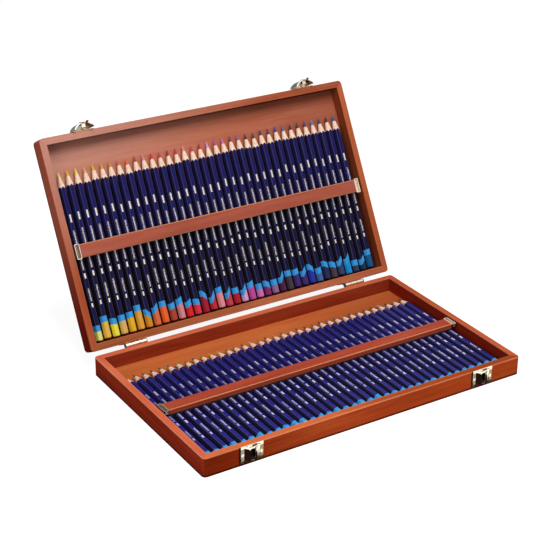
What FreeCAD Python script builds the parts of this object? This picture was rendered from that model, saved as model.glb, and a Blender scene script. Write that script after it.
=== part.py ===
import FreeCAD, Part
import math
import os
import Sketcher

# Wooden pencil case with two hinged trays, shown open.
# X is the width, Y runs to the back and Z is up. The origin is the middle of the base's underside.
# Lid pieces are drawn about the hinge line, with Y up the open lid and Z out of its open side.

# Driving sizes in millimetres, angles in degrees
SIZES = (
    ("case_width", 370, "outside width of both trays"),
    ("case_depth", 222, "outside depth of both trays"),
    ("base_height", 20, "height of the base tray"),
    ("lid_height", 17.5, "height of the lid tray"),
    ("wall", 7.3, "thickness of the rails"),
    ("corner_radius", 4, "rounding of the case's corners"),
    ("edge_ease", 0.6, "bevel of the rims"),
    ("base_board", 4.5, "thickness of the base's board"),
    ("lid_board", 3.5, "thickness of the lid's board"),
    ("rabbet", 3.5, "width of the step that holds a board"),
    ("board_play", 0.1, "play round a board"),
    ("parting_gap", 0.3, "gap between the closed rims"),
    ("lid_lean_angle", 28.5, "angle of the open lid behind upright, in degrees"),
    ("hinge_inset", 49, "hinge middle from the case's side"),
    ("hinge_width", 25, "width of a hinge"),
    ("hinge_stand", 2.7, "hinge line behind the case's back"),
    ("leaf_reach", 15, "leaf edge from the hinge line"),
    ("leaf_start", 3, "start of the flat leaf from the hinge line"),
    ("leaf", 1, "thickness of a leaf"),
    ("knuckle_radius", 2.4, "outside radius of a hinge knuckle"),
    ("knuckle_gap", 0.3, "gap between knuckles"),
    ("hinge_pin", 1.15, "radius of a hinge pin"),
    ("pin_play", 0.05, "play round a pin"),
    ("leaf_screw_spread", 7, "leaf screw from the hinge's middle"),
    ("leaf_screw_drop", 10, "leaf screw from the hinge line"),
    ("screw_head_radius", 1.9, "radius of a screw's head"),
    ("screw_head", 0.9, "height of a screw's head"),
    ("catch_inset", 50, "catch middle from the case's side"),
    ("catch_width", 25.5, "width of the catch plates"),
    ("plate", 0.8, "thickness of the catch's sheet"),
    ("strike_height", 17.5, "height of a strike plate"),
    ("keeper_foot", 7.4, "half width of the keeper at the plate"),
    ("keeper_flat", 3.9, "half width of the keeper's flat front"),
    ("keeper_rise", 4.5, "keeper's front from the rail"),
    ("keeper_height", 14.4, "height of the keeper"),
    ("keeper_top", 0.6, "keeper's top below the rim"),
    ("keeper_bar", 1.3, "height of the keeper's top and bottom bars"),
    ("window_width", 5.6, "width of the keeper's window"),
    ("nail_head_radius", 1.3, "radius of a nail's head"),
    ("nail_head", 0.6, "height of a nail's head"),
    ("nail_spread", 10.3, "nail from the catch's middle"),
    ("strike_nail_drop", 13.6, "strike nail below the rim"),
    ("latch_plate_height", 15.4, "height of a latch plate"),
    ("latch_plate_rise", 1, "latch plate's edge above the lid's rim"),
    ("hasp_axis_rise", 14, "hasp line above the lid's rim"),
    ("hasp_axis_stand", 2.8, "hasp line in front of the lid"),
    ("hasp_knuckle", 1.7, "outside radius of a hasp knuckle"),
    ("hasp_pin", 0.75, "radius of a hasp pin"),
    ("hasp_barrel", 16, "width of the hasp's barrel"),
    ("hasp_middle", 8, "width of the hasp's own knuckle"),
    ("hasp_width", 22, "width of the hasp's bow"),
    ("hasp_crown", 8, "top of the bow from the lid"),
    ("hasp_foot", 1.8, "foot of the bow from the lid"),
    ("hasp_root_rise", 10.6, "bow's upper end above the lid's rim"),
    ("hasp_end_drop", 5.2, "bow's lower end below the lid's rim"),
    ("hook_width", 4, "width of the hasp's hook"),
    ("hook", 1, "thickness of the hasp's hook"),
    ("hook_depth", 3.1, "hook's tip from the rail"),
    ("hook_play", 0.3, "gap between the hook and the keeper's bar"),
    ("lip", 2.4, "reach of the finger lip"),
    ("bar_end_room", 7.95, "bar's end from the side wall"),
    ("bar_width", 14, "width of a retaining bar"),
    ("base_bar_room", 2.5, "gap between the base's pencils and their bar"),
    ("lid_bar_room", 1, "gap between the lid's pencils and their bar"),
    ("bar_drop", 0.5, "top of a bar below the rim"),
    ("bar_round", 1.2, "rounding of a bar's top edges"),
    ("base_bar_place", 99.4, "base bar's middle from the front"),
    ("lid_bar_place", 102.2, "lid bar's middle from the hinge side"),
    ("comb_width", 10, "width of the comb under a bar"),
    ("comb_stop", 0.5, "tips of the comb above the pencils' middle"),
    ("notch_play", 0.3, "play round a pencil in the comb"),
    ("clip_length", 17, "length of a spring clip"),
    ("clip_play", 0.35, "spring clip from the side wall"),
    ("clip_strip", 0.8, "thickness of a spring clip's strip"),
    ("clip_drop", 0.3, "spring clip below the bar's top"),
    ("clip_over", 0.5, "spring clip below the bar's underside"),
    ("row_margin", 3.64, "room at each end of a row of pencils"),
    ("pencil_length", 178, "length of a pencil"),
    ("pencil_spacing", 1.356, "gap between neighbouring pencils"),
    ("sharpened", 14.9, "length of the sharpened end"),
    ("point_radius", 0.35, "radius of the pencil's point"),
    ("pencil_gap", 1, "pencil's end from the tray's wall"),
    ("pencil_lift", 0.1, "play under the pencils"),
)

# Counts and ratios
PENCILS = 36
GROUP = 6
POINT_SIDES = 12
BASE_KNUCKLES = (-1, 1)
LID_KNUCKLES = (0,)
KNUCKLES = 3
SIDES = (("left", -1), ("right", 1))
UPRIGHT = 90
CURL_START = 1.25
TOLERANCE = 1e-6

doc = FreeCAD.newDocument("pencil_case")
sheet = doc.addObject("Spreadsheet::Sheet", "Sizes")
parts = []


class Dim:
    """A number from the sheet together with the formula that binds to it."""

    def __init__(self, value, formula):
        self.value = value
        self.formula = formula

    @staticmethod
    def of(other):
        if isinstance(other, Dim):
            return other
        return Dim(float(other), "%.10g" % other)

    def join(self, other, sign, value):
        return Dim(value, "(%s %s %s)" % (self.formula, sign, other.formula))

    def __add__(self, other):
        other = Dim.of(other)
        return self.join(other, "+", self.value + other.value)

    def __radd__(self, other):
        return Dim.of(other) + self

    def __sub__(self, other):
        other = Dim.of(other)
        return self.join(other, "-", self.value - other.value)

    def __rsub__(self, other):
        return Dim.of(other) - self

    def __mul__(self, other):
        other = Dim.of(other)
        return self.join(other, "*", self.value * other.value)

    def __rmul__(self, other):
        return Dim.of(other) * self

    def __truediv__(self, other):
        other = Dim.of(other)
        return self.join(other, "/", self.value / other.value)

    def __neg__(self):
        return Dim.of(0) - self


def fill_sheet():
    """Write the driving sizes to the sheet."""
    for row, (alias, value, words) in enumerate(SIZES, start=1):
        sheet.set("A%d" % row, words)
        sheet.set("B%d" % row, str(value))
        sheet.setAlias("B%d" % row, alias)
    doc.recompute()


def size(alias):
    return Dim(float(sheet.get(alias)), "Sizes.%s" % alias)


# Helpers
def role_of(body, role):
    return next(o for o in body.Origin.OriginFeatures if o.Role == role)


def bind(thing, name, value):
    thing.setExpression(name, Dim.of(value).formula)


def new_body(name):
    body = doc.addObject("PartDesign::Body", name)
    body.Label = name
    return body


def new_sketch(body, name, role, lift=0):
    """Start a sketch on one of the body's own planes, moved along the plane's normal."""
    sketch = body.newObject("Sketcher::SketchObject", name)
    sketch.AttachmentSupport = [(role_of(body, role), "")]
    sketch.MapMode = "FlatFace"
    bind(sketch, "AttachmentOffset.Base.z", lift)
    return sketch


def pin_point(sketch, geometry, which, across, up):
    for kind, value in (("DistanceX", across), ("DistanceY", up)):
        value = Dim.of(value)
        row = sketch.addConstraint(Sketcher.Constraint(kind, -1, 1, geometry, which, value.value))
        bind(sketch, "Constraints[%d]" % row, value)


def polygon(body, name, role, points, lift=0):
    """Draw a closed outline through points given in the sketch's own axes."""
    sketch = new_sketch(body, name, role, lift)
    spots = [FreeCAD.Vector(Dim.of(x).value, Dim.of(y).value, 0) for x, y in points]
    last = len(spots) - 1
    for index, spot in enumerate(spots):
        following = 0 if index == last else index + 1
        sketch.addGeometry(Part.LineSegment(spot, spots[following]), False)
    for index in range(len(spots)):
        following = 0 if index == last else index + 1
        sketch.addConstraint(Sketcher.Constraint("Coincident", index, 2, following, 1))
    for index, (across, up) in enumerate(points):
        pin_point(sketch, index, 1, across, up)
    return sketch


def rectangle(body, name, role, across, up, lift=0):
    (left, right), (low, high) = across, up
    return polygon(body, name, role, ((left, low), (right, low), (right, high), (left, high)), lift)


def circles(body, name, role, centres, radius, lift=0):
    sketch = new_sketch(body, name, role, lift)
    for index, (across, up) in enumerate(centres):
        middle = FreeCAD.Vector(Dim.of(across).value, Dim.of(up).value, 0)
        normal = FreeCAD.Vector(0, 0, 1)
        sketch.addGeometry(Part.Circle(middle, normal, radius.value), False)
        pin_point(sketch, index, 3, across, up)
        row = sketch.addConstraint(Sketcher.Constraint("Radius", index, radius.value))
        bind(sketch, "Constraints[%d]" % row, radius)
    return sketch


def pad(body, name, sketch, length, both=False, back=False):
    feature = body.newObject("PartDesign::Pad", name)
    feature.Profile = sketch
    bind(feature, "Length", length)
    feature.Midplane = both
    feature.Reversed = back
    body.Tip = feature
    return feature


def pocket(body, name, sketch, length=None, both=False, back=False):
    """Cut a sketch out, through everything where no length is given."""
    feature = body.newObject("PartDesign::Pocket", name)
    feature.Profile = sketch
    if length is None:
        feature.Type = "ThroughAll"
    else:
        bind(feature, "Length", length)
    feature.Midplane = both
    feature.Reversed = back
    body.Tip = feature
    return feature


def ease(body, name, amount, wanted, bevel=False):
    """Round or bevel the edges of the body for which the test wanted(edge) holds."""
    doc.recompute()
    base = body.Tip
    names = ["Edge%d" % i for i, edge in enumerate(base.Shape.Edges, start=1) if wanted(edge)]
    feature = body.newObject("PartDesign::Chamfer" if bevel else "PartDesign::Fillet", name)
    feature.Base = (base, names)
    bind(feature, "Size" if bevel else "Radius", amount)
    body.Tip = feature
    return feature


def heads(body, name, role, centres, radius, height, lift=0, back=False):
    """Stand the heads of nails or screws on a plate."""
    spots = circles(body, name + "_spots", role, centres, radius, lift)
    return pad(body, name, spots, height, back=back)


def row_of(body, name, feature, axis, length, count):
    """Repeat a feature along an axis of the body, over a length."""
    pattern = body.newObject("PartDesign::LinearPattern", name)
    pattern.Originals = [feature]
    pattern.Direction = (role_of(body, axis), [""])
    bind(pattern, "Length", length)
    pattern.Occurrences = count
    body.Tip = pattern
    return pattern


def keep(thing, *places):
    """List a finished sub-part for export, placed by formulas for X, Y and Z."""
    for name, value in zip("xyz", places):
        bind(thing, "Placement.Base.%s" % name, value)
    thing.Label = thing.Name
    parts.append(thing)
    return thing


def turn(thing, angle):
    """Turn a sub-part about X."""
    thing.Placement = FreeCAD.Placement(thing.Placement.Base, FreeCAD.Rotation(FreeCAD.Vector(1, 0, 0), angle))


def copies(name, source, places, mirrored=False):
    """Gather placed copies of one body in a sub-part, those left of the middle turned round if mirrored."""
    links = []
    for index, spot in enumerate(places, start=1):
        link = doc.addObject("App::Link", "%s_%d" % (name, index))
        link.LinkedObject = source
        if mirrored and Dim.of(spot[0]).value < 0:
            half_turn = FreeCAD.Rotation(FreeCAD.Vector(0, 0, 1), 180)
            link.LinkPlacement = FreeCAD.Placement(FreeCAD.Vector(0, 0, 0), half_turn)
        for axis, value in zip("xyz", spot):
            bind(link, "LinkPlacement.Base.%s" % axis, value)
        links.append(link)
    group = doc.addObject("Part::Compound", name)
    group.Links = links
    return group


def on_both_sides(name, source, place, y=0, z=0, mirrored=False):
    return copies(name, source, [(sign * place, y, z) for sign in (-1, 1)], mirrored)


fill_sheet()

# Sizes that follow from the driving ones
half_width = size("case_width") / 2
half_depth = size("case_depth") / 2
wall = size("wall")
inner_width = half_width - wall
inner_depth = half_depth - wall
hinge_y = half_depth + size("hinge_stand")
hinge_z = size("base_height") + size("parting_gap") / 2
lid_turn = UPRIGHT - size("lid_lean_angle").value
lid_rim = -(size("parting_gap") / 2)
lid_back = size("hinge_stand")
lid_middle = lid_back + half_depth
lid_front = lid_back + size("case_depth")
hinge_centre = half_width - size("hinge_inset")
catch_centre = half_width - size("catch_inset")
half_bar_length = inner_width - size("bar_end_room")
clip_width = size("bar_end_room") - size("clip_play")
pencil_pitch = (inner_width - size("row_margin")) * 2 / PENCILS
pencil_corner = (pencil_pitch - size("pencil_spacing")) / 2
pencil_radius = pencil_corner * (math.sqrt(3) / 2)
UNIT = Dim.of(1)


def place_in_lid(thing, x=0):
    """Set a piece that is drawn about the hinge line on the open lid."""
    keep(thing, x, hinge_y, hinge_z)
    turn(thing, lid_turn)
    return thing


# Trays
def is_upright(edge):
    ends = [v.Point for v in edge.Vertexes]
    return len(ends) == 2 and abs(ends[0].x - ends[1].x) + abs(ends[0].y - ends[1].y) < TOLERANCE


def lies_at(edge, level):
    box = edge.BoundBox
    return abs(box.ZMin - level.value) + abs(box.ZMax - level.value) < TOLERANCE


def tray_frame(name, middle, rim, height, board):
    """Build the ring of rails, rim up, with a step for the board."""
    body = new_body(name)
    across = (-half_width, half_width)
    deep = (middle - half_depth, middle + half_depth)
    outline = rectangle(body, name + "_outline", "XY_Plane", across, deep, rim - height)
    pad(body, name + "_block", outline, height)
    ease(body, name + "_corners", size("corner_radius"), is_upright)
    ease(body, name + "_eased", size("edge_ease"), lambda edge: lies_at(edge, rim), bevel=True)
    room = rectangle(body, name + "_room", "XY_Plane", (-inner_width, inner_width),
                     (middle - inner_depth, middle + inner_depth), rim)
    pocket(body, name + "_hollow", room)
    step = size("rabbet")
    stepped = rectangle(body, name + "_step", "XY_Plane", (-inner_width - step, inner_width + step),
                        (middle - inner_depth - step, middle + inner_depth + step), rim - height)
    pocket(body, name + "_rabbet", stepped, board, back=True)
    return body


def rails(prefix, names, frame, middle, rim, height, kept):
    """Cut the ring into four mitred rails, named from low Y round to low X."""
    over = UNIT
    for index, side in enumerate(names):
        outer, across = (half_depth, half_width) if index % 2 == 0 else (half_width, half_depth)
        wedge = doc.addObject("Part::Wedge", "%s_%s_mitre" % (prefix, side))
        bind(wedge, "Xmin", -across - over)
        bind(wedge, "Xmax", across + over)
        bind(wedge, "X2min", wall + over - across)
        bind(wedge, "X2max", across - wall - over)
        bind(wedge, "Ymin", -outer - over)
        bind(wedge, "Ymax", wall + over - outer)
        for name in ("Zmin", "Z2min"):
            bind(wedge, name, rim - height - over)
        for name in ("Zmax", "Z2max"):
            bind(wedge, name, rim + over)
        turned = FreeCAD.Rotation(FreeCAD.Vector(0, 0, 1), 90 * index)
        wedge.Placement = FreeCAD.Placement(FreeCAD.Vector(0, 0, 0), turned)
        bind(wedge, "Placement.Base.y", middle)
        rail = doc.addObject("Part::MultiCommon", "%s_%s_rail" % (prefix, side))
        rail.Shapes = [frame, wedge]
        kept(rail)


def board_panel(name, middle, bottom, thickness, kept):
    """Lay the board in the step under the rails."""
    body = new_body(name)
    reach = size("rabbet") - size("board_play")
    outline = rectangle(body, name + "_outline", "XY_Plane", (-inner_width - reach, inner_width + reach),
                        (middle - inner_depth - reach, middle + inner_depth + reach), bottom)
    pad(body, name + "_board", outline, thickness)
    kept(body)


def build_trays():
    base_rim = size("base_height")
    base = tray_frame("base_frame", Dim.of(0), base_rim, base_rim, size("base_board"))
    lid = tray_frame("lid_frame", lid_middle, lid_rim, size("lid_height"), size("lid_board"))
    rails("base", ("front", "right", "back", "left"), base, Dim.of(0), base_rim, base_rim, keep)
    rails("lid", ("back", "right", "front", "left"), lid, lid_middle, lid_rim, size("lid_height"),
          place_in_lid)
    board_panel("base_panel", Dim.of(0), Dim.of(0), size("base_board"), keep)
    board_panel("lid_panel", lid_middle, lid_rim - size("lid_height"), size("lid_board"), place_in_lid)


# Hinges
def hinge_leaf(name, side, knuckles):
    """Form a leaf about the hinge line, on side -1 (base, with the pin) or 1 (lid, with the bore)."""
    body = new_body(name)
    wide = size("hinge_width")
    far = side * size("hinge_stand")
    near = side * (size("hinge_stand") - size("leaf"))
    start = -size("leaf_start")
    flat = rectangle(body, name + "_flat", "YZ_Plane", (near, far), (-size("leaf_reach"), start))
    pad(body, name + "_plate", flat, wide, both=True)
    pitch = wide / KNUCKLES
    width = pitch - size("knuckle_gap")
    for index, place in enumerate(knuckles, start=1):
        lift = place * pitch - width / 2
        neck = polygon(body, "%s_neck_%d" % (name, index), "YZ_Plane", (
            (near, start), (far, start), (far, start / 2), (near * CURL_START, -size("leaf")),
            (near, -size("leaf"))), lift)
        pad(body, "%s_curl_%d" % (name, index), neck, width)
        ring = circles(body, "%s_ring_%d" % (name, index), "YZ_Plane", [(0, 0)],
                       size("knuckle_radius"), lift)
        pad(body, "%s_knuckle_%d" % (name, index), ring, width)
    if side < 0:
        rod = circles(body, name + "_rod", "YZ_Plane", [(0, 0)], size("hinge_pin"))
        pad(body, name + "_pin", rod, wide - size("knuckle_gap"), both=True)
    else:
        eye = circles(body, name + "_eye", "YZ_Plane", [(0, 0)], size("hinge_pin") + size("pin_play"))
        pocket(body, name + "_bore", eye, both=True)
    spots = [(end * size("leaf_screw_spread"), -size("leaf_screw_drop")) for end in (-1, 1)]
    heads(body, name + "_screws", "XZ_Plane", spots, size("screw_head_radius"), size("screw_head"),
          -near, back=side < 0)
    return body


def build_hinges():
    base_leaf = hinge_leaf("base_leaf", -1, BASE_KNUCKLES)
    lid_leaf = hinge_leaf("lid_leaf", 1, LID_KNUCKLES)
    keep(on_both_sides("base_hinge_leaves", base_leaf, hinge_centre), 0, hinge_y, hinge_z)
    place_in_lid(on_both_sides("lid_hinge_leaves", lid_leaf, hinge_centre))


# Catches
def strike_plate(name):
    """Form a plate with a raised keeper, drawn on the rail's face with Z zero at the rim."""
    body = new_body(name)
    half = size("catch_width") / 2
    sheet_metal = size("plate")
    foot = size("keeper_foot")
    front = size("keeper_flat")
    rise = size("keeper_rise")
    top = -size("keeper_top")
    flat = rectangle(body, name + "_flat", "XZ_Plane", (-half, half), (-size("strike_height"), 0))
    pad(body, name + "_plate", flat, sheet_metal)
    bridge = polygon(body, name + "_bridge", "XY_Plane", (
        (-foot, 0), (-front, -rise), (front, -rise), (foot, 0)), top)
    pad(body, name + "_keeper", bridge, size("keeper_height"), back=True)
    low = sheet_metal - rise
    inside = polygon(body, name + "_inside", "XY_Plane", (
        (sheet_metal - foot, -sheet_metal), (sheet_metal / 2 - front, low),
        (front - sheet_metal / 2, low), (foot - sheet_metal, -sheet_metal)), top)
    pocket(body, name + "_tunnel", inside, size("keeper_height"))
    opening = size("window_width") / 2
    frame = size("keeper_bar")
    window = rectangle(body, name + "_window", "XZ_Plane", (-opening, opening),
                       (top - size("keeper_height") + frame, top - frame), sheet_metal)
    pocket(body, name + "_opening", window, rise, back=True)
    spots = [(end * size("nail_spread"), -size("strike_nail_drop")) for end in (-1, 1)]
    heads(body, name + "_nails", "XZ_Plane", spots, size("nail_head_radius"), size("nail_head"), sheet_metal)
    return body


def latch_plate(name):
    """Form the lid's plate with two knuckles and their pin, drawn about the hasp line."""
    body = new_body(name)
    half = size("catch_width") / 2
    face = -size("hasp_axis_stand")
    front = face + size("plate")
    rim = size("hasp_axis_rise")
    low = rim - size("latch_plate_rise")
    flat = rectangle(body, name + "_flat", "YZ_Plane", (face, front),
                     (low - size("latch_plate_height"), low))
    pad(body, name + "_plate", flat, half * 2, both=True)
    outer = size("hasp_barrel") / 2
    inner = size("hasp_middle") / 2 + size("knuckle_gap")
    radius = size("hasp_knuckle")
    for index, start in enumerate((-outer, inner), start=1):
        foot = rectangle(body, "%s_foot_%d" % (name, index), "YZ_Plane", (face, 0),
                         (-radius, radius / 2), start)
        pad(body, "%s_lug_%d" % (name, index), foot, outer - inner)
        ring = circles(body, "%s_ring_%d" % (name, index), "YZ_Plane", [(0, 0)], radius, start)
        pad(body, "%s_knuckle_%d" % (name, index), ring, outer - inner)
    rod = circles(body, name + "_rod", "YZ_Plane", [(0, 0)], size("hasp_pin"))
    pad(body, name + "_pin", rod, (inner + size("plate")) * 2, both=True)
    return body


def hasp(name):
    """Press a bowed hasp with a hook and a finger lip, drawn about its own line."""
    body = new_body(name)
    skin = size("plate")
    stand = size("hasp_axis_stand")
    rim = size("hasp_axis_rise")
    foot = size("hasp_foot") - stand
    crown = size("hasp_crown") - stand
    half = size("hasp_width") / 2
    sagitta = crown - foot
    radius = (half * half + sagitta * sagitta) / (sagitta * 2)
    centre = crown - radius
    root = rim - size("hasp_root_rise")
    end = rim + size("hasp_end_drop")
    bow = circles(body, name + "_bow", "XY_Plane", [(0, centre)], radius, root)
    pad(body, name + "_arch", bow, end - root)
    hollow = circles(body, name + "_hollow", "XY_Plane", [(0, centre)], radius - skin, root + skin)
    pocket(body, name + "_inside", hollow, back=True)
    below = rectangle(body, name + "_below", "XY_Plane", (-radius * 2, radius * 2),
                      (-radius * 4, foot), end)
    pocket(body, name + "_feet", below)
    middle = size("hasp_middle") / 2
    knuckle = size("hasp_knuckle")
    arm = polygon(body, name + "_arm", "YZ_Plane", (
        (0, knuckle / 2), (0, -knuckle / 2), (knuckle, -knuckle / 2), (crown - skin, root),
        (crown - skin, root + skin), (knuckle / 2, root + skin), (knuckle / 2, knuckle / 2)), -middle)
    pad(body, name + "_neck", arm, middle * 2)
    ring = circles(body, name + "_ring", "YZ_Plane", [(0, 0)], knuckle, -middle)
    pad(body, name + "_knuckle", ring, middle * 2)
    eye = circles(body, name + "_eye", "YZ_Plane", [(0, 0)], size("hasp_pin") + size("pin_play"))
    pocket(body, name + "_bore", eye, both=True)
    hook_top = rim + size("parting_gap") + size("keeper_top") + size("keeper_bar") + size("hook_play")
    tongue = rectangle(body, name + "_tongue", "YZ_Plane", (size("hook_depth") - stand, crown - skin / 2),
                       (hook_top, hook_top + size("hook")))
    pad(body, name + "_hook", tongue, size("hook_width"), both=True)
    reach = size("lip")
    curl = polygon(body, name + "_curl", "YZ_Plane", (
        (crown - skin, end - skin), (crown, end - skin), (crown + reach / 2, end + reach / 2),
        (crown + reach / 2 - skin, end + reach / 2 + skin / 2), (crown - skin, end)))
    pad(body, name + "_lip", curl, half, both=True)
    return body


def build_catches():
    strikes = on_both_sides("strike_plates", strike_plate("strike"), catch_centre)
    keep(strikes, 0, -half_depth, size("base_height"))
    hasp_y = lid_front + size("hasp_axis_stand")
    hasp_z = lid_rim - size("hasp_axis_rise")
    place_in_lid(on_both_sides("latch_plates", latch_plate("latch"), catch_centre, hasp_y, hasp_z))
    pressed = hasp("pressed_hasp")
    for side, sign in SIDES:
        place_in_lid(copies("hasp_%s" % side, pressed, [(sign * catch_centre, hasp_y, hasp_z)]))


# Retaining bars
def build_bar(prefix, middle, rim, floor, kept):
    """Build a bar with its comb and spring clips, drawn with the tray's rim up."""
    axis_z = floor + size("pencil_lift") + pencil_radius
    under = axis_z + pencil_radius + size(prefix + "_bar_room")
    top = rim - size("bar_drop")
    half = half_bar_length
    half_bar = size("bar_width") / 2
    bar = new_body(prefix + "_bar")
    section = rectangle(bar, prefix + "_bar_section", "YZ_Plane",
                        (middle - half_bar, middle + half_bar), (under, top))
    pad(bar, prefix + "_bar_length", section, half * 2, both=True)
    ease(bar, prefix + "_bar_eased", size("bar_round"),
         lambda edge: edge.BoundBox.XLength > half.value and edge.BoundBox.ZMin > under.value + TOLERANCE)
    kept(bar)

    comb = new_body(prefix + "_bar_comb")
    half_comb = size("comb_width") / 2
    strip = rectangle(comb, prefix + "_comb_section", "YZ_Plane",
                      (middle - half_comb, middle + half_comb), (axis_z + size("comb_stop"), under))
    pad(comb, prefix + "_comb_strip", strip, half * 2, both=True)
    grown = pencil_radius + size("notch_play")
    corner = grown * (2 / math.sqrt(3))
    first = pencil_pitch * ((1 - PENCILS) / 2)
    hollow = polygon(comb, prefix + "_comb_notch", "XZ_Plane", (
        (first - corner, axis_z), (first + corner, axis_z),
        (first + corner / 2, axis_z + grown), (first - corner / 2, axis_z + grown)), -middle)
    notch = pocket(comb, prefix + "_comb_cut", hollow, size("comb_width") + wall, both=True)
    row_of(comb, prefix + "_comb_notches", notch, "X_Axis", pencil_pitch * (PENCILS - 1), PENCILS)
    kept(comb)

    clip = spring_clip(prefix + "_clip", top - under)
    kept(on_both_sides(prefix + "_bar_springs", clip, half, middle, top, mirrored=True))


def spring_clip(name, bar_height):
    """Bend a strip into a flat oval loop from X zero on, with the screw that holds it."""
    body = new_body(name)
    upper = -size("clip_drop")
    thick = size("clip_strip")
    strip = bar_height - size("clip_drop") + size("clip_over")
    wide = clip_width
    outer = wide / 2
    straight = size("clip_length") / 2 - outer
    ends = [(outer, -straight), (outer, straight)]
    run = (-straight, straight)
    block = rectangle(body, name + "_block", "XY_Plane", (0, wide), run, upper)
    pad(body, name + "_sides", block, strip, back=True)
    rounds = circles(body, name + "_rounds", "XY_Plane", ends, outer, upper)
    pad(body, name + "_ends", rounds, strip, back=True)
    inner = rectangle(body, name + "_inner", "XY_Plane", (thick, wide - thick), run, upper)
    pocket(body, name + "_room", inner)
    bends = circles(body, name + "_bends", "XY_Plane", ends, outer - thick, upper)
    pocket(body, name + "_bows", bends)
    heads(body, name + "_screw", "YZ_Plane", [(0, -bar_height / 2)], size("screw_head_radius"),
          size("screw_head"), thick)
    return body


# Pencils
def pencil():
    """Pad a hexagonal barrel and sharpen it with a ring of slanting cuts."""
    body = new_body("pencil")
    length = size("pencil_length")
    corners = [(pencil_corner * math.cos(math.pi * k / 3), pencil_corner * math.sin(math.pi * k / 3))
               for k in range(6)]
    section = polygon(body, "pencil_section", "XZ_Plane", corners)
    pad(body, "pencil_barrel", section, length, back=True)
    point = size("point_radius")
    slope = (pencil_radius - point) / size("sharpened")
    beyond = pencil_corner + UNIT
    waste = polygon(body, "pencil_waste", "YZ_Plane", (
        (length + UNIT, point - slope), (length + UNIT, beyond), (length - (beyond - point) / slope, beyond)))
    cut = pocket(body, "pencil_cut", waste, both=True)
    sharpening = body.newObject("PartDesign::PolarPattern", "pencil_sharpening")
    sharpening.Originals = [cut]
    sharpening.Axis = (role_of(body, "Y_Axis"), [""])
    sharpening.Angle = 360
    sharpening.Occurrences = POINT_SIDES
    body.Tip = sharpening
    return body


def build_pencils():
    one = pencil()
    sets = (
        ("base_pencils", -inner_depth + size("pencil_gap"), size("base_board"), keep),
        ("lid_pencils", lid_back + wall + size("pencil_gap"),
         lid_rim - size("lid_height") + size("lid_board"), place_in_lid),
    )
    for prefix, start, floor, kept in sets:
        axis_z = floor + size("pencil_lift") + pencil_radius
        for group in range(PENCILS // GROUP):
            places = []
            for index in range(group * GROUP, (group + 1) * GROUP):
                x = pencil_pitch * (index + (1 - PENCILS) / 2)
                places.append((x, start, axis_z))
            kept(copies("%s_%d" % (prefix, group + 1), one, places))


def check_and_write():
    """Stop at the first bad object, then write every sub-part to a file of its own."""
    doc.recompute()
    for thing in doc.Objects:
        for word in ("Invalid", "Error"):
            if word in thing.State:
                raise RuntimeError("%s is %s" % (thing.Name, thing.State))
    os.makedirs("parts", exist_ok=True)
    for thing in parts:
        shape = thing.Shape
        if not shape.isValid() or not shape.Solids:
            raise RuntimeError("%s has a bad shape" % thing.Label)
        shape.exportStep("parts/%s.step" % thing.Label)


build_trays()
build_hinges()
build_catches()
build_bar("base", -half_depth + size("base_bar_place"), size("base_height"), size("base_board"), keep)
build_bar("lid", lid_back + size("lid_bar_place"), lid_rim,
          lid_rim - size("lid_height") + size("lid_board"), place_in_lid)
build_pencils()
check_and_write()
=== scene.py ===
"""Looks of an open wooden pencil case: stained rails, lacquered pencils and pale metal fittings."""

import math
import random

import bpy
from mathutils import Matrix, Vector


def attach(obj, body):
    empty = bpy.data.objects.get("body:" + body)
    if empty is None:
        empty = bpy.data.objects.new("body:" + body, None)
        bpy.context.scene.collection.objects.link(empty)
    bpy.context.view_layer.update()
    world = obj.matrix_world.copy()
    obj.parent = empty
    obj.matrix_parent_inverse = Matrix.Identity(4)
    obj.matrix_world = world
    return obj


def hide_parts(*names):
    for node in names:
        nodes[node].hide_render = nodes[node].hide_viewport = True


# All lengths are in metres unless a comment says otherwise

# The open lid's own frame starts at the hinges, with Y along the lid and Z out of its open side
HINGE_LINE = Vector((0, 0.1137, 0.02015))
LID_TURN = math.radians(61.5)
LID_FRAME = Matrix.Translation(HINGE_LINE) @ Matrix.Rotation(LID_TURN, 4, "X")
LID_MIDDLE = 0.1137

# Trays: thickness of a rail, half of the room inside, heights of rim and outer skin, rounded corner
RAIL = 0.0073
INNER_HALF = (0.1777, 0.1037)
BASE_RIM = 0.02
BASE_SKIN = 0.0
LID_RIM = -0.00015
LID_SKIN = -0.01765
CORNER = 0.004

# Above these heights a board shows its inner face
BASE_BOARD_TOP = 0.004
LID_BOARD_TOP = -0.015

# Retaining bars: middles in the case's and in the lid's frame, half their width, depth under the rim
BASE_BAR_MIDDLE = -0.0116
LID_BAR_MIDDLE = 0.1049
BAR_HALF = 0.007
BAR_SINK = 0.0005

# Spring clips: inner and outer end, half their length, sheet thickness, lowest and highest point
CLIP_NEAR = 0.1699
CLIP_FAR = 0.1751
CLIP_HALF = 0.0079
CLIP_SHEET = 0.0006
BASE_CLIP_HEIGHTS = (0.0150, 0.0194)
LID_CLIP_HEIGHTS = (-0.0052, -0.0008)

# Middles of the catches and of the hinges, in millimetres to both sides
CATCH_MIDDLE = 135
HINGE_MIDDLE = 136

# Pencils: row, hexagon, point, and how far each may be pushed along or cut shorter
PENCILS = 36
PITCH = 0.00967
FLAT_RADIUS = 0.0036
PENCIL_LENGTH = 0.178
POINT_RADIUS = 0.0004
SHARPENED = 0.0149
LEAD_RADIUS = 0.00175
SLOPE = (FLAT_RADIUS - POINT_RADIUS) / SHARPENED
CORNER_WEAR = 0.00018
PUSH = 0.0012
SHORTENING = 0.011

# Rounding of the blunt end: share of the radius and distance from the end
BLUNT_RINGS = ((0.62, 0.0), (0.86, 0.00018), (0.96, 0.0006), (1.0, 0.0013))
CONE_START = len(BLUNT_RINGS)

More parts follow.
